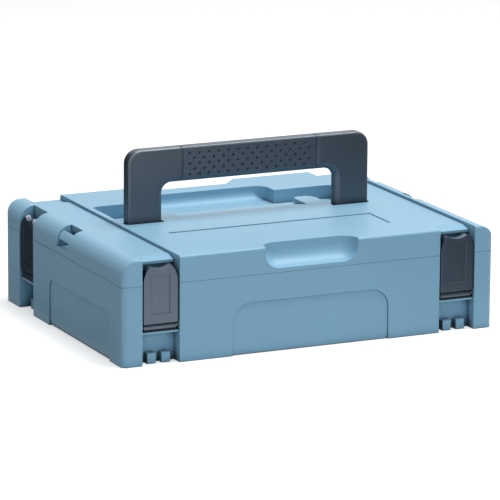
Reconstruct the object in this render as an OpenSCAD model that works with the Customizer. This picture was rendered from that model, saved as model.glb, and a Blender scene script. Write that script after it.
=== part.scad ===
// Hard tool case with a hinged lid, four over-centre latches and a fold-down carry handle.
// Origin: centre of the underside. +X to the right, +Y to the back, +Z up. Millimetres.
// The case is drawn closed, latched and with its handle raised.

/* [Case] */
// Outer width, left to right
case_w = 395; // [370:1:440]
// Outer depth, front to back
case_d = 295; // [285:1:330]
// Height of the closed case to the top of the lid
case_h = 103.3; // [98:0.5:120]
// Height of the parting line between base and lid
seam_z = 77.5; // [68:0.1:78]
// Gap between lid and base along the parting line
seam_gap = 0.3; // [0.2:0.1:0.6]
// Wall thickness of both shells
wall = 2.8; // [2:0.1:3.2]
// Floor thickness of the base
floor_t = 3.2; // [2.4:0.1:4.5]
// Radius of the four upright corners
corner_r = 6; // [5:0.5:12]
// Radius of the long top edges on the left and right
rail_r = 17; // [12:0.5:18]
// Radius of the top edges at the front and back
brow_r = 2.5; // [1:0.5:4]

/* [Lid top] */
// Width of the raised rail on the left and right
rail_w = 20.6; // [18:0.2:24]
// Width of the stacking channels, which the front latches stand in
channel_w = 38.4; // [34:0.2:44]
// Depth of the stacking channels below the lid's top
channel_drop = 2.8; // [2:0.1:4]
// Depth of the low strip at both ends of a stacking channel, behind the latch
ledge_drop = 5.4; // [5:0.2:7]
// Length of the slope between that strip and the channel's floor
ledge_run = 12; // [6:0.5:14]
// Width of the shallow pad on the lid's plate
pad_w = 218; // [180:1:240]
// Length of the pad, front to back
pad_d = 46.5; // [38:0.5:52]
// Distance from the case's front to the pad
pad_from_front = 48; // [43:0.5:50]
// Depth of the pad
pad_drop = 0.8; // [0.4:0.1:1.2]
// Radius of the pad's corners
pad_r = 1.5; // [0.5:0.1:4]
// Width of the notch in the plate's back edge, at its inner end
notch_w = 72; // [60:1:90]
// Width that the notch gains on each side towards the back
notch_flare = 18; // [8:1:22]
// Distance from the case's back to the notch's inner end
notch_run = 20.5; // [16:0.5:24]
// Depth of the notch
notch_drop = 13; // [8:0.5:14]

/* [Finger pull in the lid's front] */
// Width of the finger pull
pull_w = 99; // [80:1:130]
// How far the finger pull cuts back from the front
pull_run = 17.3; // [17:0.1:19]
// Height of the finger pull's lowest line above the parting line
pull_lift = 4.2; // [4:0.1:9]
// Radius of its bowl-shaped floor and ends
pull_r = 15.5; // [8:0.5:16]

/* [Handle] */
// Thickness of the handle, front to back
handle_t = 13; // [10:0.5:15]
// Height of the handle's bar
bar_h = 35; // [30:0.5:38]
// Width of the handle's legs
leg_w = 37.5; // [32:0.5:42]
// Distance from the handle's pivot to the top of its bar
handle_reach = 79.6; // [72:0.2:86]
// Radius of the outer corners
handle_corner_r = 14; // [10:0.5:20]
// Radius of the inner corners
handle_inner_r = 10; // [8:0.5:14]
// Radius along the outer edges
handle_edge_r = 2.5; // [1.5:0.1:3.5]
// Length of the dimpled grip
grip_l = 152; // [120:1:160]
// Wall thickness of the grip sleeve
grip_t = 2; // [1.4:0.1:2.5]
// Width of the collar at each end of the grip
collar_w = 3; // [2:0.5:5]
// Width of the groove before each collar
groove_w = 0.9; // [0.5:0.1:1.5]
// Depth of the grooves
groove_deep = 0.6; // [0.3:0.1:1]
// Distance of the handle's pivot in front of the case's centre
pivot_forward = 0.5; // [0:0.5:8]
// Clear space in front of the handle, behind it and inside its legs
fold_clear = 1.2; // [0.8:0.1:2]
// Clear space on the handle's outer sides
fold_side = 2.2; // [1.2:0.1:3]
// Clear space under the folded handle, and from its top to the lid's top
fold_lift = 0.5; // [0.4:0.1:1]
// Distance from the handle's recess to the stacking channel
recess_margin = 5.5; // [5:0.1:10]
// Diameter of the handle's pivot pins
handle_pin_d = 5; // [4:0.1:6]

/* [Finger well behind the handle] */
// Width of the finger well
well_w = 136; // [110:1:150]
// How far the finger well reaches behind the folded bar
well_run = 25.5; // [20:0.5:28]
// Width of the scoop that leads down into the well
scoop_w = 140; // [110:1:160]
// Length of the scoop, front to back
scoop_run = 44; // [36:0.5:48]
// How far the scoop falls before it ends at the recess's wall
scoop_drop = 5.5; // [3:0.1:8]
// Radius of the well's and the scoop's corners in plan
well_r = 14; // [8:0.5:17]
// Radius where the well's floor curves up into its back wall
well_floor_r = 9; // [3:0.5:12]
// Radius of the island's corners beside the scoop
horn_r = 8; // [4:0.5:12]
// Radius of the recess's front corners, round the handle's feet
foot_r = 5; // [3:0.5:5]

/* [Latches] */
// Depth of the front latch bays
front_bay = 13; // [12:0.5:15]
// Depth of the side latch bays
side_bay = 16.5; // [14:0.5:18]
// Width of a side latch bay
side_bay_w = 36.4; // [34:0.2:44]
// Distance from the case's back to the side latch bays
side_bay_back = 36.3; // [26:0.1:60]
// Gap on each side of a latch
latch_side_gap = 1.6; // [1:0.1:3]
// Thickness of a latch
latch_t = 8; // [6.5:0.1:9]
// How far a latch's face is set back from the case's outside
latch_set_back = 0.7; // [0.3:0.1:1.5]
// Height of a latch's lower edge above the underside
latch_foot_z = 40; // [38:0.5:44]
// Height of a latch's tip below the lid's top
latch_tip_drop = 7.6; // [7:0.1:12]
// Height over which the latch's shoulders curve in
shoulder_h = 16.5; // [12:0.5:20]
// How far each shoulder curves in
shoulder_in = 7; // [4:0.5:8]
// Depth of the finger scoop in the latch's tip
tip_dip = 3.2; // [2:0.1:5]
// Height of the latch's pivot above the underside
latch_pivot_z = 36; // [34.8:0.1:36.4]
// Distance of the latch's pivot behind the case's outside
latch_pivot_in = 5.4; // [4.6:0.1:6]
// Diameter of the latch's barrel
barrel_d = 6.6; // [6:0.1:7.4]
// Diameter of the latch pins
latch_pin_d = 3; // [2:0.1:3.6]
// How far a latch pin reaches into the shell on each side
latch_pin_in = 4; // [3:0.1:4.5]
// Depth of the shallow panel in the latch's face
panel_drop = 0.7; // [0.3:0.1:1.2]
// Width of that panel
latch_panel_w = 19; // [12:0.5:22]
// Distance from the panel to the latch's lower edge, and to its tip
latch_panel_end = 9; // [7:0.5:14]
// Depth of the finger pocket behind a front latch's tip, from the bay's wall
pocket_run = 5; // [3:0.5:6]
// Size of the lid's catch and of the latch's nose, out from the wall
catch_out = 3; // [2:0.1:3.6]
// Height of the catch's top above the parting line
catch_lift = 6; // [5:0.2:8]
// Thickness of the catch
catch_t = 3; // [2:0.1:4]
// Thickness of the latch's nose
nose_t = 3; // [2:0.1:4]

/* [Latch bays below the latch] */
// Height of the shelf under a latch
shelf_z = 31.6; // [29:0.2:31.8]
// Thickness of the shelf
shelf_t = 1.8; // [1.2:0.1:3]
// Gap between the shelf's front and an open latch
shelf_clear = 0.6; // [0.4:0.1:1.5]
// Width of a stacking lug
lug_w = 8.8; // [7:0.5:10]
// Height of a stacking lug
lug_h = 10; // [7:0.5:14]
// How far a stacking lug stands out of the bay's wall
lug_out = 7.2; // [4:0.5:9]
// Distance between the two lugs of a bay
lug_gap = 6; // [4:0.5:8]

/* [Hinge] */
// Distance of the hinge axis in front of the case's back
hinge_in = 3; // [2.8:0.1:3.4]
// Steepness of the faces that meet when the lid is fully open, in degrees
hinge_bevel = 50.5; // [49:0.5:54]
// Diameter of the hinge pins
hinge_pin_d = 3; // [2:0.1:3.4]
// Length of one hinge
hinge_l = 70; // [50:1:80]
// Distance between the two hinges
hinge_space = 110; // [100:1:140]
// Thickness of the rim along the parting line at the back
rim_t = 7; // [6.4:0.1:9]
// Height of that rim on each side of the parting line
rim_h = 8; // [6:0.5:9]

/* [Strap eyes in the rails] */
// Length of a strap eye, front to back
eye_l = 30; // [24:1:38]
// Thickness of the bar across the eye
eye_bar_t = 4.5; // [3.5:0.1:6]
// How far that bar is set below the rail's rounded edge
eye_bar_drop = 2; // [1:0.1:3]
// Distance of the eyes' middle behind the case's centre
eye_behind = 1.5; // [-8:0.5:8]
// Width of the eye's upper slot
eye_top_w = 8.5; // [6:0.5:9]
// Height of the eye's lower slot
eye_side_h = 7.5; // [6:0.5:9]
// How far the lower slot reaches above the middle of the rail's rounding
eye_side_up = 4.5; // [3:0.5:6]

/* [Recessed panels on the base] */
// Left edge of the front panel, measured from the case's centre
front_panel_left = 83; // [70:1:110]
// Right edge of the front panel, measured from the case's centre
front_panel_right = 83; // [70:1:110]
// Top of the front panel
front_panel_z = 51; // [40:0.5:60]
// Front edge of the side panels, measured from the case's centre
side_panel_front = 117; // [90:1:120]
// Back edge of the side panels, measured from the case's centre
side_panel_back = 33.5; // [20:0.5:38]
// Top of the side panels
side_panel_z = 47; // [36:0.5:60]
// Radius of the front panel's upper corners
front_panel_r = 19; // [10:0.5:24]
// Radius of the side panels' upper corners
side_panel_r = 8; // [5:0.5:24]
// Depth of the panels
panel_deep = 1.2; // [0.6:0.1:1.6]
// How much the underside is raised inside the side panels
side_raise = 2.4; // [1:0.1:2.6]
// How much the underside is raised inside the front panel
front_raise = 1; // [0.5:0.1:2]

/* [Hidden] */
$fn = 96;

// Clearances of the pins: held tight in one piece, free to turn in the other
pin_hold = 0.02;
pin_run = 0.05;
// Side gap between neighbouring hinge knuckles, and round a knuckle
knuckle_gap = 0.4;
// Knuckles per hinge: the first, third and fifth belong to the base
knuckle_count = 5;
// Gap between a latch's nose and the catch, above it and in front of it
nose_clear = 0.5;
// How far a nose stands out behind its latch
nose_out = 1.2;
// How much shorter than the latch its barrel is, at each end
barrel_short = 0.8;
// Thickness of the web between latch and barrel
web_t = 4;
// Plastic round a pin's bore in the shells
boss_t = 2.1;
// Plastic behind the closed end of a latch pin's bore and of a handle pin's bore
latch_boss_end = 2;
handle_boss_end = 1.3;
// How far each end of a pin stays short of the bottom of its bore
pin_end = 0.2;
// Smallest radius that an inset leaves
least_r = 0.4;
// Overshoot of cutting shapes past the faces that they open
cut = 2;

// Places that several pieces share
half_w = case_w / 2;
half_d = case_d / 2;
lid_bottom = seam_z + seam_gap / 2;
base_top = seam_z - seam_gap / 2;
channel_out = half_w - rail_w;
channel_in = channel_out - channel_w;
channel_mid = (channel_out + channel_in) / 2;
channel_z = case_h - channel_drop;
ledge_z = case_h - ledge_drop;
side_bay_mid = half_d - side_bay_back - side_bay_w / 2;

recess_half = channel_in - recess_margin;
handle_half = recess_half - fold_side;
leg_in = handle_half - leg_w;
pivot_y = -pivot_forward;
pivot_z = case_h - fold_lift - handle_t / 2;
bar_top = pivot_z + handle_reach;
bar_low = bar_top - bar_h;
recess_z = pivot_z - handle_t / 2 - fold_lift;
recess_front = pivot_y - handle_t / 2 - fold_clear;
recess_back = pivot_y + handle_reach + fold_clear;
island_half = leg_in - fold_clear;
island_back = pivot_y + handle_reach - bar_h - fold_clear;
handle_boss_r = handle_pin_d / 2 + boss_t;
handle_pin_in = 3.2;
handle_boss_l = handle_pin_in + handle_boss_end;

latch_tip_z = case_h - latch_tip_drop;
latch_boss_r = latch_pin_d / 2 + boss_t;
latch_boss_l = latch_pin_in + latch_boss_end;
shelf_front = latch_pivot_in - (latch_foot_z - latch_pivot_z) + shelf_clear;
catch_z = seam_z + catch_lift;

hinge_y = half_d - hinge_in;
hinge_z = seam_z;
knuckle_r = hinge_in;
knuckle_l = hinge_l / knuckle_count;
hinge_mid = (hinge_space + hinge_l) / 2;

// A rectangle with four round corners, centred
module round_rect(w, d, r) {
    square([w - 2 * r, d], center = true);
    square([w, d - 2 * r], center = true);
    for (x = [-1, 1], y = [-1, 1])
        translate([x * (w / 2 - r), y * (d / 2 - r)])
            circle(r);
}

// A door shape: centred in width, standing on 0, with two round upper corners
module door(w, h, r) {
    translate([-w / 2, 0])
        square([w, h - r]);
    translate([r - w / 2, 0])
        square([w - 2 * r, h]);
    for (x = [-1, 1])
        translate([x * (w / 2 - r), h - r])
            circle(r);
}

// Stands a drawing of X and Z up and gives it a depth from y0 to y1
module along_y(y0, y1) {
    translate([0, y1, 0])
        rotate([90, 0, 0])
            linear_extrude(y1 - y0)
                children();
}

// Stands a drawing of Y and Z up and gives it a width from x0 to x1
module along_x(x0, x1) {
    translate([x0, 0, 0])
        rotate([90, 0, 90])
            linear_extrude(x1 - x0)
                children();
}

// A block from one corner to the other
module block(low, high) {
    translate(low)
        cube(high - low);
}

// A pin or bore along X, centred on the given point
module rod_x(r, l) {
    rotate([0, 90, 0])
        cylinder(r = r, h = l, center = true);
}

// The children as drawn and mirrored to the other side
module left_and_right() {
    children();
    mirror([1, 0, 0])
        children();
}

// A bowl-shaped room with one radius on its corners and on its bottom edges
module tray(w, d, h, r) {
    translate([0, 0, r])
        linear_extrude(h - r)
            round_rect(w, d, r);
    linear_extrude(h)
        square([w - 2 * r, d - 2 * r], center = true);
    for (side = [-1, 1]) {
        translate([0, side * (d / 2 - r), r])
            rod_x(r, w - 2 * r);
        translate([side * (w / 2 - r), 0, r])
            rotate([90, 0, 0])
                cylinder(r = r, h = d - 2 * r, center = true);
        for (end = [-1, 1])
            translate([side * (w / 2 - r), end * (d / 2 - r), r])
                sphere(r);
    }
}

// The outer form of the closed case, or the same form shrunk by an inset
module case_form(inset = 0) {
    tall = case_h - inset;
    intersection() {
        linear_extrude(tall)
            round_rect(case_w - 2 * inset, case_d - 2 * inset, max(corner_r - inset, least_r));
        along_y(-half_d, half_d)
            door(case_w - 2 * inset, tall, rail_r - inset);
        along_x(-half_w, half_w)
            door(case_d - 2 * inset, tall, max(brow_r - inset, least_r));
    }
}

// The two bays that hold the front latches, open to the front and the top
module front_bays(grow = 0) {
    left_and_right()
        block([channel_in - grow, -half_d - cut, -cut],
              [channel_out + grow, front_bay - half_d + grow, case_h + cut]);
}

// The two bays that hold the side latches, open to the side and the top
module side_bays(grow = 0) {
    left_and_right()
        block([half_w - side_bay - grow, side_bay_mid - side_bay_w / 2 - grow, -cut],
              [half_w + cut, side_bay_mid + side_bay_w / 2 + grow, case_h + cut]);
}

// The two shallow channels along the lid's top, which slope down towards the latches
module top_channels(grow = 0) {
    top = case_h + cut;
    slope_end = front_bay + ledge_run;
    left_and_right() {
        block([channel_in - grow, -half_d - cut, channel_z - grow], [channel_out + grow, half_d + cut, top]);
        for (turn = [0, 180])
            translate([channel_mid, 0, 0])
                rotate([0, 0, turn])
                    translate([0, -half_d, 0])
                        along_x(-channel_w / 2 - grow, channel_w / 2 + grow)
                            polygon([[-cut, ledge_z - grow], [front_bay, ledge_z - grow],
                                     [slope_end, channel_z - grow], [slope_end, top], [-cut, top]]);
    }
}

// The finger pockets in the lid behind the tips of the front latches
module tip_pockets(grow = 0) {
    left_and_right()
        block([channel_in - grow, -half_d, catch_z + nose_clear - grow],
              [channel_out + grow, front_bay + pocket_run - half_d + grow, ledge_z - wall]);
}

// The bowl-shaped finger pull that is cut into the lid's front edge
module finger_pull(grow = 0) {
    translate([0, -half_d, seam_z + pull_lift - grow])
        tray(pull_w + 2 * grow, 2 * (pull_run + grow), case_h, pull_r + grow);
}

// The recess that the folded handle lies in: a U round a raised island
module handle_recess(grow = 0) {
    back_r = handle_corner_r / 2 + grow;
    front_r = foot_r + grow;
    front = recess_front - grow;
    back = recess_back + grow;
    half = recess_half + grow;
    middle = (front + back) / 2;
    difference() {
        translate([0, 0, recess_z - grow])
            linear_extrude(case_h) {
                translate([0, middle])
                    door(2 * half, back - middle, back_r);
                translate([0, middle])
                    mirror([0, 1])
                        door(2 * half, middle - front, front_r);
            }
        translate([0, front - cut, 0])
            linear_extrude(2 * case_h)
                door(2 * (island_half - grow), island_back - grow - front + cut, handle_inner_r + fold_clear);
    }
}

// The rounding of the island's corners beside the scoop
module horn_rounding(grow = 0) {
    left_and_right()
        translate([scoop_w / 2 + horn_r, island_back - horn_r, recess_z - grow])
            linear_extrude(case_h)
                difference() {
                    translate([-horn_r, 0])
                        square([horn_r, horn_r + fold_clear]);
                    circle(horn_r - grow);
                }
}

// The scoop that falls over the island towards the recess, in one soft S
module island_scoop(grow = 0) {
    drop = scoop_drop;
    run = scoop_run;
    r = (run * run / drop + drop) / 4;
    start = island_back - run;
    intersection() {
        translate([0, 0, -grow])
            along_x(-half_w, half_w) {
                difference() {
                    translate([start, case_h - drop / 2])
                        square([run / 2, drop]);
                    translate([start, case_h - r])
                        circle(r);
                }
                intersection() {
                    translate([start + run / 2, case_h - drop])
                        square([run / 2 + 2 * fold_clear, 2 * drop]);
                    union() {
                        translate([island_back, case_h - drop + r])
                            circle(r);
                        translate([island_back, case_h - drop])
                            square([2 * fold_clear, drop]);
                    }
                }
            }
        translate([0, start - grow, 0])
            linear_extrude(2 * case_h)
                translate([0, run + fold_clear + grow])
                    rotate(180)
                        door(scoop_w + 2 * grow, run + fold_clear + grow, well_r + grow);
    }
}

// The finger well behind the folded bar: round corners in plan, and a floor that curves up at the back
module finger_well(grow = 0) {
    front = recess_back - bar_h / 2 - grow;
    back = recess_back + well_run + grow;
    low = recess_z - grow;
    r = well_floor_r + grow;
    intersection() {
        translate([0, (front + back) / 2, low])
            linear_extrude(case_h)
                round_rect(well_w + 2 * grow, back - front, well_r + grow);
        along_x(-half_w, half_w) {
            translate([front, low + r])
                square([back - front, case_h]);
            translate([front, low])
                square([back - front - r, case_h]);
            translate([back - r, low + r])
                circle(r);
        }
    }
}

// The trapezoid notch in the plate's back edge
module back_notch(grow = 0) {
    inner = half_d - notch_run - grow;
    outer = half_d + cut;
    w0 = notch_w / 2 + grow;
    w1 = w0 + notch_flare * (outer - inner) / notch_run;
    translate([0, 0, case_h - notch_drop - grow])
        linear_extrude(case_h)
            polygon([[-w0, inner], [w0, inner], [w1, outer], [-w1, outer]]);
}

// The shallow pad on the plate, which is left bare
module plate_pad() {
    translate([0, pad_from_front + pad_d / 2 - half_d, case_h - pad_drop])
        linear_extrude(case_h)
            round_rect(pad_w, pad_d, pad_r);
}

// A strap eye: two slots through the rail's rounded edge with a bar between them
module strap_eye(grow = 0) {
    cx = half_w - rail_r;
    cz = case_h - rail_r;
    bar_r = rail_r - eye_bar_drop;
    room_r = bar_r - eye_bar_t;
    low = cz + eye_side_up - eye_side_h;
    along_y(-eye_l / 2 - grow, eye_l / 2 + grow) {
        intersection() {
            translate([cx, cz])
                circle(room_r + grow);
            translate([cx - rail_r, low - grow])
                square([2 * rail_r, case_h]);
        }
        translate([cx - grow, cz])
            square([eye_top_w + 2 * grow, rail_r + cut]);
        translate([cx, low - grow])
            square([rail_r + cut, eye_side_h + 2 * grow]);
    }
    if (grow == 0)
        along_y(-eye_l / 2, eye_l / 2)
            difference() {
                translate([cx, cz - eye_bar_drop])
                    square(rail_r + cut);
                translate([cx, cz])
                    circle(bar_r);
                translate([cx, 0])
                    square([rail_r + cut, low]);
            }
}

// The pair of strap eyes
module strap_eyes(grow = 0) {
    left_and_right()
        translate([0, eye_behind, 0])
            strap_eye(grow);
}

// The sloped faces along the back of the parting line
module hinge_bevel_cut() {
    up = hinge_in * tan(hinge_bevel);
    along_x(-half_w - cut, half_w + cut)
        polygon([[hinge_y, hinge_z], [half_d + cut, hinge_z - up - cut], [half_d + cut, hinge_z + up + cut]]);
}

// Knuckles of both hinges with the given remainder of their number, 0 for the base and 1 for the lid
module knuckles(part, r, grow = 0) {
    for (side = [-1, 1], i = [0 : knuckle_count - 1])
        if (i % 2 == part)
            translate([side * hinge_mid + (i + 0.5) * knuckle_l - hinge_l / 2, hinge_y, hinge_z])
                rod_x(r, knuckle_l - knuckle_gap + 2 * grow);
}

// The bores of both hinges
module hinge_bores(clear) {
    for (side = [-1, 1])
        translate([side * hinge_mid, hinge_y, hinge_z])
            rod_x(hinge_pin_d / 2 + clear, hinge_l + cut);
}

// Puts a front latch's own frame at a front bay: origin on the pivot's height, face towards -Y
module at_front(side) {
    translate([side * channel_mid, -half_d, 0])
        children();
}

// Puts the same frame at a side bay, with the face turned outwards
module at_side(side) {
    translate([side * half_w, side_bay_mid, 0])
        rotate([0, 0, side * 90])
            children();
}

// A rod on a latch's pivot axis, in the latch's frame
module latch_axis_rod(r, l) {
    translate([0, latch_pivot_in, latch_pivot_z])
        rod_x(r, l);
}

// Rods on all four pivot axes, which reach into the shell on both sides of each bay
module latch_rods(r, reach) {
    for (side = [-1, 1]) {
        at_front(side)
            latch_axis_rod(r, channel_w + 2 * reach);
        at_side(side)
            latch_axis_rod(r, side_bay_w + 2 * reach);
    }
}

// The shelf and the two lugs of a bay, in the latch's frame
module bay_fittings(bay_w, deep) {
    block([-(bay_w + wall) / 2, shelf_front, shelf_z - shelf_t],
          [(bay_w + wall) / 2, deep + wall / 2, shelf_z]);
    for (x = [-1, 1])
        translate([x * (lug_gap + lug_w) / 2 - lug_w / 2, deep - lug_out, 0])
            cube([lug_w, lug_out + wall / 2, lug_h]);
}

// The lid's catch, in the latch's frame
module lid_catch(bay_w, deep) {
    half = bay_w / 2 - latch_side_gap - shoulder_in;
    block([-half, deep - catch_out, catch_z - catch_t], [half, deep + wall / 2, catch_z]);
}

// A panel on the base's outside, open to the underside
module base_panel(w, h, r, raise) {
    along_y(-cut, panel_deep)
        translate([0, -cut])
            door(w, h + cut, r);
    block([-w / 2, -cut, -cut], [w / 2, wall, raise]);
}

// The base: an open box with bays for the latches
module base_shell() {
    color([0.40, 0.58, 0.70])
    difference() {
        union() {
            difference() {
                case_form();
                difference() {
                    translate([0, 0, floor_t])
                        case_form(wall);
                    front_bays(wall);
                    side_bays(wall);
                    block([-half_w, half_d - rim_t, seam_z - rim_h], [half_w, half_d, case_h]);
                    latch_rods(latch_boss_r, latch_boss_l);
                }
                block([-case_w, -case_d, base_top], [case_w, case_d, 2 * case_h]);
                hinge_bevel_cut();
            }
            knuckles(0, knuckle_r);
        }
        difference() {
            union() {
                front_bays();
                side_bays();
            }
            for (side = [-1, 1]) {
                at_front(side)
                    bay_fittings(channel_w, front_bay);
                at_side(side)
                    bay_fittings(side_bay_w, side_bay);
            }
        }
        knuckles(1, knuckle_r + knuckle_gap, knuckle_gap);
        hinge_bores(pin_hold);
        latch_rods(latch_pin_d / 2 + pin_hold, latch_pin_in);
        translate([(front_panel_right - front_panel_left) / 2, -half_d, 0])
            base_panel(front_panel_left + front_panel_right, front_panel_z, front_panel_r, front_raise);
        for (side = [-1, 1])
            translate([side * half_w, (side_panel_back - side_panel_front) / 2, 0])
                rotate([0, 0, side * 90])
                    base_panel(side_panel_front + side_panel_back, side_panel_z, side_panel_r, side_raise);
    }
}

// The lid: a shell whose top carries the channels, the handle's recess and the pulls
module lid_shell() {
    color([0.52, 0.68, 0.78])
    difference() {
        union() {
            difference() {
                case_form();
                difference() {
                    case_form(wall);
                    front_bays(wall);
                    side_bays(wall);
                    top_channels(wall);
                    tip_pockets(wall);
                    finger_pull(wall);
                    handle_recess(wall);
                    horn_rounding(wall);
                    island_scoop(wall);
                    finger_well(wall);
                    back_notch(wall);
                    strap_eyes(wall);
                    block([-half_w, half_d - rim_t, 0], [half_w, half_d, seam_z + rim_h]);
                    left_and_right()
                        translate([(recess_half + island_half) / 2, pivot_y, pivot_z])
                            rod_x(handle_boss_r, recess_half - island_half + 2 * handle_boss_l);
                }
                block([-case_w, -case_d, -cut], [case_w, case_d, lid_bottom]);
                hinge_bevel_cut();
            }
            knuckles(1, knuckle_r);
        }
        difference() {
            union() {
                front_bays();
                side_bays();
            }
            for (side = [-1, 1]) {
                at_front(side)
                    lid_catch(channel_w, front_bay);
                at_side(side)
                    lid_catch(side_bay_w, side_bay);
            }
        }
        top_channels();
        tip_pockets();
        finger_pull();
        handle_recess();
        horn_rounding();
        island_scoop();
        finger_well();
        back_notch();
        plate_pad();
        strap_eyes();
        knuckles(0, knuckle_r + knuckle_gap, knuckle_gap);
        hinge_bores(pin_run);
        left_and_right()
            translate([(recess_half + island_half) / 2, pivot_y, pivot_z])
                rod_x(handle_pin_d / 2 + pin_hold, recess_half - island_half + 2 * handle_pin_in);
    }
}

// The outline of the handle, drawn with the pivot's axis at height 0
module handle_outline(inset) {
    difference() {
        door(2 * (handle_half - inset), handle_reach - inset, handle_corner_r - inset);
        translate([0, -cut])
            door(2 * (leg_in + handle_t / 2), handle_reach - bar_h + handle_t / 2 + cut,
                 handle_inner_r + handle_t / 2);
    }
}

// A rod that follows a door-shaped path, with a quarter ring at each upper corner
module bow_rod(half, high, turn, r, low) {
    left_and_right() {
        translate([half, 0, low])
            cylinder(r = r, h = high - turn - low);
        translate([half - turn, 0, high - turn])
            rotate([90, 0, 0])
                rotate_extrude(angle = 90)
                    translate([turn, 0])
                        circle(r);
    }
    translate([0, 0, high])
        rod_x(r, 2 * (half - turn));
}

// The handle as one solid bow, in a frame on its pivot axis
module bow_solid() {
    edge = handle_t / 2 - handle_edge_r;
    along_y(-edge, edge)
        handle_outline(0);
    along_y(-handle_t / 2, handle_t / 2)
        handle_outline(handle_edge_r);
    bow_rod(leg_in + handle_t / 2, handle_reach - bar_h + handle_t / 2,
            handle_inner_r + handle_t / 2, handle_t / 2, 0);
    for (y = [-1, 1])
        translate([0, y * edge, 0])
            bow_rod(handle_half - handle_edge_r, handle_reach - handle_edge_r,
                    handle_corner_r - handle_edge_r, handle_edge_r, 0);
    left_and_right()
        translate([(leg_in + handle_half) / 2, 0, 0])
            rod_x(handle_t / 2, leg_w);
}

// The carry handle's frame, thinned where the grip sleeve sits
module handle_bow() {
    color([0.27, 0.31, 0.38])
    translate([0, pivot_y, pivot_z])
        difference() {
            bow_solid();
            bar_ring(-grip_l / 2, grip_l / 2, grip_t);
            left_and_right()
                translate([(leg_in + handle_half) / 2, 0, 0])
                    rod_x(handle_pin_d / 2 + pin_run, leg_w + cut);
        }
}

// The space round the bar between two places, outside its thickness less a depth on all sides
module bar_ring(x0, x1, deep) {
    difference() {
        block([x0, -handle_t, handle_reach - bar_h - cut], [x1, handle_t, handle_reach + cut]);
        translate([(x0 + x1) / 2, 0, handle_reach - bar_h / 2])
            cube([x1 - x0 + cut, handle_t - 2 * deep, bar_h - 2 * deep], center = true);
    }
}

// The grip sleeve round the middle of the bar, with a groove before the collar at each end
module handle_grip() {
    color([0.22, 0.26, 0.33])
    translate([0, pivot_y, pivot_z])
        difference() {
            intersection() {
                bow_solid();
                bar_ring(-grip_l / 2, grip_l / 2, grip_t);
            }
            left_and_right()
                bar_ring(grip_l / 2 - collar_w - groove_w, grip_l / 2 - collar_w, groove_deep);
        }
}

// One pivot pin of the handle
module handle_pin(side) {
    color([0.70, 0.71, 0.73])
    translate([side * (recess_half + island_half) / 2, pivot_y, pivot_z])
        rod_x(handle_pin_d / 2, recess_half - island_half + 2 * (handle_pin_in - pin_end));
}

// The face of a latch: straight sides, curved shoulders and a dipped tip
module latch_face(w) {
    r = (shoulder_h * shoulder_h + shoulder_in * shoulder_in) / (2 * shoulder_in);
    tip_half = w / 2 - shoulder_in;
    dip_r = (tip_half * tip_half + tip_dip * tip_dip) / (2 * tip_dip);
    bend_z = latch_tip_z - shoulder_h;
    difference() {
        union() {
            translate([-w / 2, latch_foot_z])
                square([w, bend_z - latch_foot_z]);
            intersection() {
                translate([r - w / 2, bend_z])
                    circle(r);
                translate([w / 2 - r, bend_z])
                    circle(r);
                translate([-w / 2, bend_z])
                    square([w, shoulder_h]);
            }
        }
        translate([0, latch_tip_z - tip_dip + dip_r])
            circle(dip_r);
    }
}

// A latch in its own frame, with its barrel, its web and its nose
module latch_solid(bay_w, deep) {
    w = bay_w - 2 * latch_side_gap;
    back = latch_set_back + latch_t;
    barrel_w = w - 2 * barrel_short;
    nose_w = w - 2 * shoulder_in;
    nose_back = min(deep - catch_out - nose_clear, back + nose_out);
    nose_z = catch_z + nose_clear;
    difference() {
        union() {
            along_y(latch_set_back, back)
                latch_face(w);
            latch_axis_rod(barrel_d / 2, barrel_w);
            block([-barrel_w / 2, latch_pivot_in - web_t / 2, latch_pivot_z],
                  [barrel_w / 2, latch_pivot_in + web_t / 2, latch_foot_z + web_t / 2]);
            block([-nose_w / 2, back - nose_out, nose_z], [nose_w / 2, nose_back, nose_z + nose_t]);
        }
        latch_axis_rod(latch_pin_d / 2 + pin_run, w + cut);
        along_y(-cut, latch_set_back + panel_drop)
            translate([-latch_panel_w / 2, latch_foot_z + latch_panel_end])
                square([latch_panel_w, latch_tip_z - latch_foot_z - 2 * latch_panel_end]);
    }
}

// A latch at the front, held inside the case's outer form
module front_latch(side) {
    color([0.31, 0.33, 0.38])
    intersection() {
        at_front(side)
            latch_solid(channel_w, front_bay);
        case_form(latch_set_back);
    }
}

// A latch at the side, which follows the rail's rounded edge
module side_latch(side) {
    color([0.31, 0.33, 0.38])
    intersection() {
        at_side(side)
            latch_solid(side_bay_w, side_bay);
        case_form(latch_set_back);
    }
}

// The pin of a front latch
module front_latch_pin(side) {
    color([0.70, 0.71, 0.73])
    at_front(side)
        latch_axis_rod(latch_pin_d / 2, channel_w + 2 * (latch_pin_in - pin_end));
}

// The pin of a side latch
module side_latch_pin(side) {
    color([0.70, 0.71, 0.73])
    at_side(side)
        latch_axis_rod(latch_pin_d / 2, side_bay_w + 2 * (latch_pin_in - pin_end));
}

// One hinge pin
module hinge_pin(side) {
    color([0.70, 0.71, 0.73])
    translate([side * hinge_mid, hinge_y, hinge_z])
        rod_x(hinge_pin_d / 2, hinge_l - knuckle_gap);
}

base_shell();
lid_shell();
handle_bow();
handle_grip();
handle_pin(-1);  // handle_pin_left
handle_pin(1);  // handle_pin_right
front_latch(-1);  // latch_front_left
front_latch(1);  // latch_front_right
side_latch(-1);  // latch_side_left
side_latch(1);  // latch_side_right
front_latch_pin(-1);  // latch_pin_front_left
front_latch_pin(1);  // latch_pin_front_right
side_latch_pin(-1);  // latch_pin_side_left
side_latch_pin(1);  // latch_pin_side_right
hinge_pin(-1);  // hinge_pin_left
hinge_pin(1);  // hinge_pin_right
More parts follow.
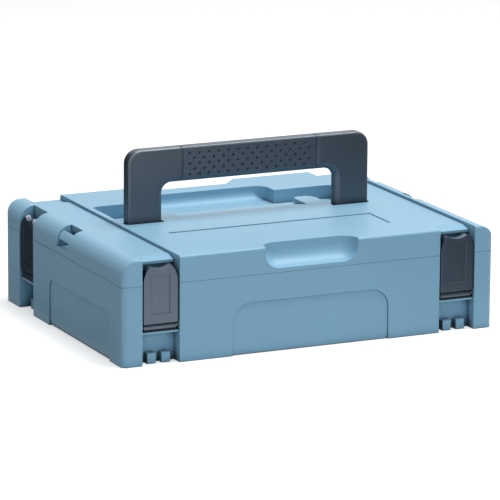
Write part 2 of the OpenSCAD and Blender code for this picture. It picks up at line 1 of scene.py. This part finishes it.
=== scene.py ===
# %% [markdown]
# # A hard tool case, dressed for a catalogue picture
# The case was constructed first, in millimetres, from boxes, cylinders and round-cornered forms.
# This lesson takes that construction into Blender and gives it its looks: moulded plastic with
# soft edges, a grip with dimples, steel pins, a pale studio floor and plain soft light.
# The constructed pieces are never moved and their meshes are never changed.

# %% Load the construction
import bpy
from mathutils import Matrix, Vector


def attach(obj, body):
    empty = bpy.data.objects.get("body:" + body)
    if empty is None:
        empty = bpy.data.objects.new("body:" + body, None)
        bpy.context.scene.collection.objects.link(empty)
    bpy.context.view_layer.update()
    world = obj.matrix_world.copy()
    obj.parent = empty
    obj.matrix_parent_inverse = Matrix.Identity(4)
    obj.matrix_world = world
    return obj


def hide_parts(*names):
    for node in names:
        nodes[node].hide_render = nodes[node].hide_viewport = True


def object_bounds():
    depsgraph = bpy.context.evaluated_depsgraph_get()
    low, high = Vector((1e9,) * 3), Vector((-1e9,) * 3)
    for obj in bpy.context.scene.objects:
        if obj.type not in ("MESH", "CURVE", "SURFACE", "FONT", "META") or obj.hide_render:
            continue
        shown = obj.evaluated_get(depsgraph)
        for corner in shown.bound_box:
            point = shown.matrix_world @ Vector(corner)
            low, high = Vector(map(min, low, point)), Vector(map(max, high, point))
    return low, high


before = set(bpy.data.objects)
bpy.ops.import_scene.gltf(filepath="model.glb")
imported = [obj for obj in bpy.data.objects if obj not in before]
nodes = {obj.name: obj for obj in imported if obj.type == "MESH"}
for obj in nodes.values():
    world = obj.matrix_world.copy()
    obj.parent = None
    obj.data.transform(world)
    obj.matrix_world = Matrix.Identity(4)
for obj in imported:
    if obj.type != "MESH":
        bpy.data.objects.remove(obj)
cad_low, cad_high = [list(corner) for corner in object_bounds()]

import math

import bpy
from mathutils import Matrix, Vector

MM = 0.001
print(len(nodes), "constructed pieces:", ", ".join(sorted(nodes)))
print("overall size in mm:", [round((high - low) / MM, 1) for low, high in zip(cad_low, cad_high)])

# %% [markdown]
# ## The camera
# Catalogue pictures are taken from far away with a long lens, so that parallel edges stay nearly
# parallel. The place of this camera and its three turns were worked out beforehand from the
# corners of the case in the picture. In Blender a camera looks along its own -Z axis with its +Y
# axis up, so the cleanest way is to compute its three axes and write them into one matrix.

# %% Place the camera
camera_place = Vector((-1.57838, -3.34996, 0.93475))
turn, tilt, lean = math.radians(25.2825), math.radians(13.2260), math.radians(0.4009)
ahead = Vector((math.sin(turn) * math.cos(tilt), math.cos(turn) * math.cos(tilt), -math.sin(tilt)))
level_right = Vector((math.cos(turn), -math.sin(turn), 0))
level_up = level_right.cross(ahead)
camera_right = level_right * math.cos(lean) + level_up * math.sin(lean)
camera_up = level_up * math.cos(lean) - level_right * math.sin(lean)

bpy.ops.object.camera_add()
camera = bpy.context.object
camera.matrix_world = Matrix((
    (camera_right.x, camera_up.x, -ahead.x, camera_place.x),
    (camera_right.y, camera_up.y, -ahead.y, camera_place.y),
    (camera_right.z, camera_up.z, -ahead.z, camera_place.z),
    (0, 0, 0, 1)))
bpy.context.scene.camera = camera
print("camera turned by", round(math.degrees(turn), 1), "and tilted down by",
      round(math.degrees(tilt), 1), "degrees")

# %% Choose the lens
# The focal length was found in pixels of a picture 500 pixels wide, on a sensor 36 mm wide.
focal_pixels, picture_pixels = 3837.70, 500
camera.data.sensor_width = 36
camera.data.lens = focal_pixels / picture_pixels * camera.data.sensor_width
camera.data.clip_start, camera.data.clip_end = 0.1, 60
print("lens:", round(camera.data.lens, 1), "mm, distance:", round(camera_place.length, 2), "m")

# %% [markdown]
# ## Helpers for materials
# A material in Blender is a small graph. Its last node is the shader, and every pattern is a node
# whose output is linked to one of the shader's sockets. These helpers add a node and link two
# sockets in one line each, so that the recipes below stay short enough to read.

# %% Two helpers for node graphs
def new_material(name):
    material = bpy.data.materials.new(name)
    material.use_nodes = True
    return material, material.node_tree, material.node_tree.nodes["Principled BSDF"]


def add(tree, kind, links=(), **values):
    """Add a node; values fill its sockets or settings, links feed its sockets."""
    node = tree.nodes.new(kind)
    for name, value in values.items():
        socket = node.inputs.get(name.replace("_", " "))
        if socket is not None:
            socket.default_value = value
        else:
            setattr(node, name, value)
    for output, socket in links:
        tree.links.new(output, node.inputs[socket])
    return node


print("helpers ready:", new_material.__name__, "and", add.__name__)

# %% [markdown]
# ## Moulded plastic
# The shells are injection moulded from a tough plastic. Up close such a part has a fine eroded
# grain from its mould, a slightly uneven sheen, and edges that are never quite sharp, which catch
# the light as thin pale lines. The grain could be modelled, but at a tenth of a millimetre it
# belongs in the material: noise drives a bump, broad noise shifts tone and gloss a little, and
# the Bevel node rounds the edges where the light meets them; there the colour is also made paler,
# a painted highlight. Joints, grooves and the gaps round the latches get no light, so the Ambient
# Occlusion node, which measures how closed in a point is, darkens the colour there as painted shade
# and takes the shine away as painted shade on the reflection. It is asked twice: over the width of
# a pocket, and over the millimetre of a joint, which draws each joint as a fine line of painted
# shade.
# The patterns read Object coordinates, so that they stay on the piece when the piece moves.

# %% Painted shade in crevices
joint_reach_mm = 1.5


def paint_crevice_shade(tree, colour_output, shader, shine, reach_mm, deepest, crease):
    """Colour and shine of the shader, both darkened as painted shade where the surface is closed in
    within reach_mm. deepest is what stays of the colour at the bottom of a pocket, crease in the
    line of a joint."""
    # The node's answer is 1 in the open and 0 where only the case itself is in sight.
    closed = add(tree, "ShaderNodeAmbientOcclusion", samples=8, Distance=reach_mm * MM)
    hollow = add(tree, "ShaderNodeMapRange", [(closed.outputs["AO"], "Value")],
                 From_Min=0.12, From_Max=0.62, To_Min=deepest, To_Max=1.0)
    near = add(tree, "ShaderNodeAmbientOcclusion", samples=8, Distance=joint_reach_mm * MM)
    line = add(tree, "ShaderNodeMapRange", [(near.outputs["AO"], "Value")],
               From_Min=0.55, From_Max=0.9, To_Min=crease, To_Max=1.0)
    depth = add(tree, "ShaderNodeMath", operation="MULTIPLY")
    tree.links.new(hollow.outputs["Result"], depth.inputs[0])
    tree.links.new(line.outputs["Result"], depth.inputs[1])
    # Painted shade on the reflection: the shine is taken away where the surface is closed in.
    shine_lost_in_shade = add(tree, "ShaderNodeMapRange", [(closed.outputs["AO"], "Value")],
               From_Min=0.3, From_Max=0.85, To_Min=0.0, To_Max=shine)
    tree.links.new(shine_lost_in_shade.outputs["Result"], shader.inputs["Specular IOR Level"])
    # Painted shade: the colour is darkened in pockets and in the lines of joints.
    painted_shade = add(tree, "ShaderNodeMix", data_type="RGBA", blend_type="MULTIPLY")
    painted_shade.inputs["Factor"].default_value = 1
    tree.links.new(colour_output, painted_shade.inputs["A"])
    tree.links.new(depth.outputs["Value"], painted_shade.inputs["B"])
    tree.links.new(painted_shade.outputs["Result"], shader.inputs["Base Color"])


print("crevices: joints are looked for within", joint_reach_mm, "mm")

# %% One recipe for every moulded piece
def moulded_plastic(name, colour, shine, gloss, grain_mm, grain_depth_mm,
                    edge_mm, edge_light, crease):
    """shine is the mirror light's strength, gloss its blur, edge_light how much paler the edges are
    painted, as a painted highlight.
    """
    material, tree, shader = new_material(name)
    place = add(tree, "ShaderNodeTexCoord").outputs["Object"]

    # Tone varies by a few parts in a hundred over patches as wide as a hand.
    flow = add(tree, "ShaderNodeTexNoise", [(place, "Vector")], Scale=14, Detail=3, Roughness=0.55)
    darker = [channel * 0.93 for channel in colour]
    lighter = [channel * 1.05 for channel in colour]
    tone = add(tree, "ShaderNodeMix", [(flow.outputs["Fac"], "Factor")], data_type="RGBA")
    tone.inputs["A"].default_value = (*darker, 1)
    tone.inputs["B"].default_value = (*lighter, 1)

    # Where the rounded normal leaves the true one there is an edge, and there the colour is made
    # paler: a painted highlight.
    soft = add(tree, "ShaderNodeBevel", samples=6, Radius=edge_mm * MM)
    plain = add(tree, "ShaderNodeNewGeometry")
    along = add(tree, "ShaderNodeVectorMath", operation="DOT_PRODUCT")
    tree.links.new(soft.outputs["Normal"], along.inputs[0])
    tree.links.new(plain.outputs["Normal"], along.inputs[1])
    edge = add(tree, "ShaderNodeMapRange", [(along.outputs["Value"], "Value")],
               From_Min=0.995, From_Max=0.86, To_Min=0.0, To_Max=edge_light)
    # Painted highlight: the paler colour that edges are given.
    painted_edge_highlight = [min(1, channel * 1.35 + 0.02) for channel in colour]
    final = add(tree, "ShaderNodeMix", [(edge.outputs["Result"], "Factor")], data_type="RGBA")
    tree.links.new(tone.outputs["Result"], final.inputs["A"])
    final.inputs["B"].default_value = (*painted_edge_highlight, 1)
    # Painted shade: pockets, joints and gaps are darkened and lose their shine.
    paint_crevice_shade(tree, final.outputs["Result"], shader, shine,
                reach_mm=14, deepest=0.05, crease=crease)

    grain = add(tree, "ShaderNodeTexNoise", [(place, "Vector")],
                Scale=1 / (grain_mm * MM), Detail=2, Roughness=0.6)
    dents = add(tree, "ShaderNodeBump", [(grain.outputs["Fac"], "Height")],
                Strength=0.5, Distance=grain_depth_mm * MM)
    tree.links.new(soft.outputs["Normal"], dents.inputs["Normal"])
    tree.links.new(dents.outputs["Normal"], shader.inputs["Normal"])

    blur = add(tree, "ShaderNodeMapRange", [(flow.outputs["Fac"], "Value")],
               From_Min=0.3, From_Max=0.7, To_Min=gloss - 0.03, To_Max=gloss + 0.04)
    tree.links.new(blur.outputs["Result"], shader.inputs["Roughness"])
    print(name, "grain", grain_mm, "mm, edges rounded by", edge_mm, "mm")
    return material


# %% The three plastics of the case
shell_blue = moulded_plastic(
    "shell plastic", colour=(0.180, 0.378, 0.540), shine=0.55, gloss=0.48,
    grain_mm=0.5, grain_depth_mm=0.05, edge_mm=0.9, edge_light=0.35, crease=0.35)
handle_grey = moulded_plastic(
    "handle plastic", colour=(0.009, 0.015, 0.025), shine=1.0, gloss=0.44,
    grain_mm=0.6, grain_depth_mm=0.03, edge_mm=1.0, edge_light=0.08, crease=0.5)
latch_grey = moulded_plastic(
    "latch plastic", colour=(0.018, 0.033, 0.056), shine=1.0, gloss=0.42,
    grain_mm=0.6, grain_depth_mm=0.03, edge_mm=0.8, edge_light=0.15, crease=0.9)

# %% [markdown]
# Two things set these plastics apart. The blue one is pale and chalky where it is seen at a low
# angle, because its fine grain scatters light forward: the sheen of cloth does the same, so a
# little of it is borrowed. The black ones look oily: they bend light more strongly, and their
# mirror light is bluish. These numbers are the same all over the surface, so they are set
# straight on the shader's sockets.

# %% Chalky blue, oily black
shell_shader = shell_blue.node_tree.nodes["Principled BSDF"]
shell_shader.inputs["Sheen Weight"].default_value = 0.3
shell_shader.inputs["Sheen Roughness"].default_value = 0.4
for black_plastic in (handle_grey, latch_grey):
    black_shader = black_plastic.node_tree.nodes["Principled BSDF"]
    black_shader.inputs["IOR"].default_value = 1.7
    black_shader.inputs["Specular Tint"].default_value = (0.74, 0.86, 1.0, 1)
    print(black_plastic.name, "bends light by", round(black_shader.inputs["IOR"].default_value, 2))

# %% [markdown]
# ## Soft grip
# The middle of the handle wears a sleeve of a slightly rubbery plastic. It is duller than the
# bow, and its skin is finely pebbled between the dimples. A Voronoi texture gives the pebbles:
# its distance output is a small hill round each point.

# %% The grip's plastic
grip_grey, grip_tree, grip_shader = new_material("grip plastic")
grip_place = add(grip_tree, "ShaderNodeTexCoord").outputs["Object"]
grip_tone = add(grip_tree, "ShaderNodeTexNoise", [(grip_place, "Vector")], Scale=60, Detail=4)
grip_mix = add(grip_tree, "ShaderNodeMix", [(grip_tone.outputs["Fac"], "Factor")], data_type="RGBA")
grip_mix.inputs["A"].default_value = (0.010, 0.017, 0.029, 1)
grip_mix.inputs["B"].default_value = (0.014, 0.024, 0.038, 1)
grip_shader.inputs["IOR"].default_value = 1.65
grip_shader.inputs["Specular Tint"].default_value = (0.76, 0.87, 1.0, 1)
# Painted shade: the dimples and grooves of the sleeve are darkened and lose their shine.
paint_crevice_shade(grip_tree, grip_mix.outputs["Result"], grip_shader,
            shine=1.0, reach_mm=3, deepest=0.02, crease=0.5)
pebbles_per_metre = 1400
pebbles = add(grip_tree, "ShaderNodeTexVoronoi", [(grip_place, "Vector")], Scale=pebbles_per_metre)
grip_edge = add(grip_tree, "ShaderNodeBevel", samples=6, Radius=0.5 * MM)
pebble_bump = add(grip_tree, "ShaderNodeBump", [(pebbles.outputs["Distance"], "Height")],
                  Strength=0.4, Distance=0.06 * MM)
grip_tree.links.new(grip_edge.outputs["Normal"], pebble_bump.inputs["Normal"])
grip_tree.links.new(pebble_bump.outputs["Normal"], grip_shader.inputs["Normal"])
grip_shader.inputs["Roughness"].default_value = 0.46
print("grip plastic: pebbles of about", round(1 / pebbles_per_metre / MM, 2), "mm")

# %% [markdown]
# ## Drawn steel
# The pins are drawn steel wire. Drawing leaves fine lines along the pin, which stretch the
# highlight. Noise that is drawn out along the pin's axis makes such lines, and they change the
# roughness and the tone a little. The pins lie along X or along Y, so there are two steels.

# %% Steel with lines along one axis
def drawn_steel(name, stretch):
    material, tree, shader = new_material(name)
    place = add(tree, "ShaderNodeTexCoord").outputs["Object"]
    drawn = add(tree, "ShaderNodeMapping", [(place, "Vector")], Scale=stretch)
    lines = add(tree, "ShaderNodeTexNoise", [(drawn.outputs["Vector"], "Vector")],
                Scale=900, Detail=4, Roughness=0.65)
    rough = add(tree, "ShaderNodeMapRange", [(lines.outputs["Fac"], "Value")],
                From_Min=0.3, From_Max=0.7, To_Min=0.22, To_Max=0.42)
    tree.links.new(rough.outputs["Result"], shader.inputs["Roughness"])
    tint = add(tree, "ShaderNodeMix", [(lines.outputs["Fac"], "Factor")], data_type="RGBA")
    tint.inputs["A"].default_value = (0.50, 0.50, 0.52, 1)
    tint.inputs["B"].default_value = (0.62, 0.62, 0.63, 1)
    tree.links.new(tint.outputs["Result"], shader.inputs["Base Color"])
    shader.inputs["Metallic"].default_value = 1
    print(name, "reads its pattern at", stretch, "of its size")
    return material


steel_along_x = drawn_steel("pin steel x", (0.04, 1, 1))
steel_along_y = drawn_steel("pin steel y", (1, 0.04, 1))

# %% [markdown]
# ## Dress the constructed pieces
# Each constructed piece keeps its own mesh. Its material slots are emptied and given the finish
# of the real part, chosen by the piece's name.

# %% Give every piece its finish
def dress(name, material):
    mesh = nodes[name].data
    mesh.materials.clear()
    mesh.materials.append(material)


for name in nodes:
    if name.startswith("latch_pin_side"):
        dress(name, steel_along_y)
    elif "pin" in name:
        dress(name, steel_along_x)
    elif name.startswith("latch"):
        dress(name, latch_grey)
    elif name.startswith("handle"):
        dress(name, handle_grey)
    else:
        dress(name, shell_blue)
    print(name, "wears", nodes[name].data.materials[0].name)

# %% [markdown]
# ## The grip's dimples
# On the real handle the front and back of the sleeve carry staggered rows of small round dimples,
# which stop a wet hand from slipping. They are large enough to see, so they are real dents and
# not a bump. One way is to cut them: a ball, a little longer than wide, is modelled once, copied
# to every place, and the whole set is taken away from a copy of the sleeve with a Boolean
# modifier. That keeps the sleeve's own form, its grooves and its fit on the bow. A large flat
# face that meets a round edge shades as if it were bent, so the Weighted Normal modifier then
# lets large faces decide.

# %% Nothing may stay selected
def select_only(*chosen):
    bpy.ops.object.select_all(action="DESELECT")
    for piece in chosen:
        piece.select_set(True)
        bpy.context.view_layer.objects.active = piece


select_only()
print("selected now:", len(bpy.context.selected_objects))

# %% Copy the sleeve
grip_node = nodes["handle_grip"]
grip = bpy.data.objects.new("dimpled_grip", grip_node.data.copy())
bpy.context.scene.collection.objects.link(grip)
select_only(grip)
bpy.ops.object.mode_set(mode="EDIT")
bpy.ops.mesh.select_all(action="SELECT")
merge_within, flat_within = 0.001 * MM, math.radians(0.3)
bpy.ops.mesh.remove_doubles(threshold=merge_within)
bpy.ops.mesh.dissolve_limited(angle_limit=flat_within)
bpy.ops.object.mode_set(mode="OBJECT")
corners = [vertex.co for vertex in grip.data.vertices]
grip_low = Vector([min(corner[axis] for corner in corners) for axis in range(3)])
grip_high = Vector([max(corner[axis] for corner in corners) for axis in range(3)])
grip_middle = (grip_low + grip_high) / 2
print("sleeve:", [round(side / MM, 1) for side in grip_high - grip_low], "mm,",
      len(grip.data.polygons), "faces")

# %% Model one dimple's tool
# The ball's middle lies outside the face, so that each dimple is shallower than the ball.
dimple_r, dimple_out, dimple_stretch = 1.6 * MM, 0.4 * MM, 1.1
bpy.ops.mesh.primitive_uv_sphere_add(segments=16, ring_count=10, radius=dimple_r, location=(0, 0, 0))
dimple_tool = bpy.context.object
bpy.ops.object.mode_set(mode="EDIT")
bpy.ops.mesh.select_all(action="SELECT")
bpy.ops.transform.rotate(value=math.radians(90), orient_axis="X", center_override=(0, 0, 0))
bpy.ops.transform.resize(value=(1.0, dimple_stretch, 1.0))
bpy.ops.object.mode_set(mode="OBJECT")
dimple_depth = dimple_r * dimple_stretch - dimple_out
dimple_width = 2 * dimple_r * math.sqrt(1 - (dimple_out / (dimple_r * dimple_stretch)) ** 2)
print("dimple:", round(dimple_width / MM, 2), "mm across,", round(dimple_depth / MM, 2), "mm deep")

# %% Copy it to every place
pitch_x, pitch_z, columns, row_count = 5.2 * MM, 5.3 * MM, 26, 5
tools = []
for face_y in (grip_low.y - dimple_out, grip_high.y + dimple_out):
    for column in range(columns):
        for row in range(row_count):
            if (column + row) % 2:
                continue
            tool = dimple_tool.copy()
            tool.data = dimple_tool.data.copy()
            tool.location = (grip_middle.x + (column - (columns - 1) / 2) * pitch_x, face_y,
                             grip_middle.z + (row - (row_count - 1) / 2) * pitch_z)
            bpy.context.scene.collection.objects.link(tool)
            tools.append(tool)
bpy.data.objects.remove(dimple_tool)
select_only(*tools)
bpy.ops.object.join()
dimple_set = bpy.context.object
print(len(tools), "dimples, in", columns, "columns on each face")

# %% Cut the dimples
select_only(grip)
cut = grip.modifiers.new("dimples", "BOOLEAN")
cut.operation, cut.solver, cut.object = "DIFFERENCE", "EXACT", dimple_set
bpy.ops.object.modifier_apply(modifier="dimples")
bpy.data.objects.remove(dimple_set)
sharpest_round = math.radians(32)
bpy.ops.object.shade_smooth_by_angle(angle=sharpest_round)
flat_faces = grip.modifiers.new("flat faces stay flat", "WEIGHTED_NORMAL")
flat_faces.keep_sharp, flat_faces.weight = True, 90
bpy.ops.object.modifier_apply(modifier=flat_faces.name)
grip.data.materials.clear()
grip.data.materials.append(grip_grey)
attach(grip, "handle")
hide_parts("handle_grip")
print("dimpled grip:", len(grip.data.polygons), "faces")

# %% [markdown]
# ## The floor
# A tool case is photographed on a white sweep of paper. Here the floor is a wide plane just under
# the case. To the case it is ordinary pale paper, which throws a little light back up. To the
# camera, and in reflections, it is as bright as paper under studio flash, so it reads as white
# where no shadow falls, and the soft shadow under the case stays. Light Path tells the kinds of
# ray apart.

# %% Lay the floor
select_only()
floor_side, floor_gap = 30, 0.05 * MM
bpy.ops.mesh.primitive_plane_add(size=floor_side, location=(0, 0, cad_low[2] - floor_gap))
floor = bpy.context.object
floor.name = "studio_floor"
paper, paper_tree, paper_shader = new_material("studio paper")
paper_shader.inputs["Roughness"].default_value = 0.9
paper_shader.inputs["Specular IOR Level"].default_value = 0.1
fibre = add(paper_tree, "ShaderNodeTexNoise", Scale=300, Detail=3)
paper_tree.links.new(add(paper_tree, "ShaderNodeTexCoord").outputs["Object"], fibre.inputs["Vector"])
paper_tone = add(paper_tree, "ShaderNodeMix", [(fibre.outputs["Fac"], "Factor")], data_type="RGBA")
paper_tone.inputs["A"].default_value = (0.58, 0.58, 0.58, 1)
paper_tone.inputs["B"].default_value = (0.62, 0.62, 0.62, 1)
paper_tree.links.new(paper_tone.outputs["Result"], paper_shader.inputs["Base Color"])
glow = add(paper_tree, "ShaderNodeEmission", Strength=0.55)
bright = add(paper_tree, "ShaderNodeAddShader")
paper_tree.links.new(paper_shader.outputs["BSDF"], bright.inputs[0])
paper_tree.links.new(glow.outputs["Emission"], bright.inputs[1])
ray = add(paper_tree, "ShaderNodeLightPath")
seen = add(paper_tree, "ShaderNodeMath", operation="MAXIMUM")
paper_tree.links.new(ray.outputs["Is Camera Ray"], seen.inputs[0])
paper_tree.links.new(ray.outputs["Is Glossy Ray"], seen.inputs[1])
choose = add(paper_tree, "ShaderNodeMixShader")
paper_tree.links.new(seen.outputs["Value"], choose.inputs[0])
paper_tree.links.new(paper_shader.outputs["BSDF"], choose.inputs[1])
paper_tree.links.new(bright.outputs["Shader"], choose.inputs[2])
paper_tree.links.new(choose.outputs["Shader"], paper_tree.nodes["Material Output"].inputs["Surface"])
floor.data.materials.append(paper)
print("floor laid at", round(floor.location.z / MM, 2), "mm")

# %% [markdown]
# ## Light
# The picture was lit by a soft light overhead, which makes every upward face pale, and a weaker
# one from the front, which leaves the left side in half shade. A third stands far back and only
# glances off the top: it is seen in reflections and adds no other light. The world adds an even,
# slightly cool level from all round. A mirror-like surface should see the same white room that
# the camera sees, so camera and glossy rays get a white world of strength 1.

# %% The room
bpy.context.scene.view_settings.view_transform = "Standard"
room = bpy.data.worlds.new("studio room")
room.use_nodes = True
bpy.context.scene.world = room
room_tree = room.node_tree
room_tree.nodes.clear()
white = add(room_tree, "ShaderNodeBackground", Color=(1, 1, 1, 1), Strength=1.0)
level = add(room_tree, "ShaderNodeBackground", Color=(0.90, 0.97, 1.0, 1), Strength=0.34)
room_ray = add(room_tree, "ShaderNodeLightPath")
seen_or_mirrored = add(room_tree, "ShaderNodeMath", operation="MAXIMUM")
sees_white = add(room_tree, "ShaderNodeMath", operation="MAXIMUM")
room_tree.links.new(room_ray.outputs["Is Camera Ray"], seen_or_mirrored.inputs[0])
room_tree.links.new(room_ray.outputs["Is Glossy Ray"], seen_or_mirrored.inputs[1])
room_tree.links.new(seen_or_mirrored.outputs["Value"], sees_white.inputs[0])
room_tree.links.new(room_ray.outputs["Is Transmission Ray"], sees_white.inputs[1])
room_mix = add(room_tree, "ShaderNodeMixShader")
room_tree.links.new(sees_white.outputs["Value"], room_mix.inputs[0])
room_tree.links.new(level.outputs["Background"], room_mix.inputs[1])
room_tree.links.new(white.outputs["Background"], room_mix.inputs[2])
room_out = add(room_tree, "ShaderNodeOutputWorld")
room_tree.links.new(room_mix.outputs["Shader"], room_out.inputs["Surface"])
print("room level:", level.inputs["Strength"].default_value)


# %% The lamps
def soft_light(name, place, aim, size, watts, tint=(1, 1, 1)):
    bpy.ops.object.light_add(type="AREA", location=place)
    lamp = bpy.context.object
    lamp.name = name
    lamp.rotation_euler = (Vector(aim) - Vector(place)).to_track_quat("-Z", "Y").to_euler()
    lamp.data.shape = "RECTANGLE"
    lamp.data.size, lamp.data.size_y = size
    lamp.data.energy = watts
    lamp.data.color = tint
    lamp.visible_camera = False
    print(name, watts, "W from", place)
    return lamp


case_middle = (0, 0, 0.05)
soft_light("overhead light", (0.4, -0.2, 2.1), case_middle, (1.3, 1.3), watts=53,
           tint=(1.0, 0.97, 0.93))
soft_light("front light", (-0.3, -2.6, 0.9), case_middle, (1.4, 1.0), watts=12)
back_lamp = soft_light("back light", (0.9, 2.0, 1.0), case_middle, (1.6, 0.8), watts=1.5)
back_lamp.visible_diffuse = False

# %% [markdown]
# ## Black cards
# Glossy black plastic has hardly any colour of its own: it shows what it faces. In the picture
# the ends of the handle that face left are almost black, and everything grows darker towards the
# right. Photographers do that with black cards just outside the picture. Each card here is one
# sheet that lies beside the case and turns up at its far edge. It is modelled from a plane, whose
# one edge is extruded upwards. The cards are seen by reflections only, so they take no light away.

# %% A sheet with one edge turned up
card_black, _, card_shader = new_material("black card")
card_shader.inputs["Base Color"].default_value = (0.004, 0.004, 0.004, 1)
card_shader.inputs["Specular IOR Level"].default_value = 0


def bent_card(name, left, right, front, back, stands_at, height):
    """A sheet on the floor between four places, turned up by height along its edge at stands_at."""
    lies_above_floor = 2 * MM
    select_only()
    bpy.ops.mesh.primitive_plane_add(size=1, location=(0, 0, 0))
    card = bpy.context.object
    card.name = name
    bpy.ops.object.mode_set(mode="EDIT")
    bpy.ops.transform.resize(value=(right - left, back - front, 1))
    bpy.ops.transform.translate(value=((left + right) / 2, (front + back) / 2, lies_above_floor))
    bpy.ops.mesh.select_all(action="DESELECT")
    bpy.ops.object.mode_set(mode="OBJECT")
    places = [vertex.co.y for vertex in card.data.vertices]
    for edge in card.data.edges:
        edge.select = all(abs(places[corner] - stands_at) < MM for corner in edge.vertices)
    bpy.ops.object.mode_set(mode="EDIT")
    bpy.ops.mesh.select_mode(type="EDGE")
    bpy.ops.mesh.extrude_region_move(TRANSFORM_OT_translate={"value": (0, 0, height)})
    bpy.ops.mesh.select_mode(type="VERT")
    bpy.ops.object.mode_set(mode="OBJECT")
    card.data.materials.append(card_black)
    card.visible_camera = card.visible_diffuse = card.visible_shadow = False
    print(name, "has", len(card.data.polygons), "faces")


print("card material:", card_black.name)

# %% Set the cards
bent_card("left_card", -2.0, -0.205, -0.15, 0.55, stands_at=0.55, height=1.8)
bent_card("right_card", 0.16, 1.5, -1.3, -0.2, stands_at=-1.3, height=1.3)
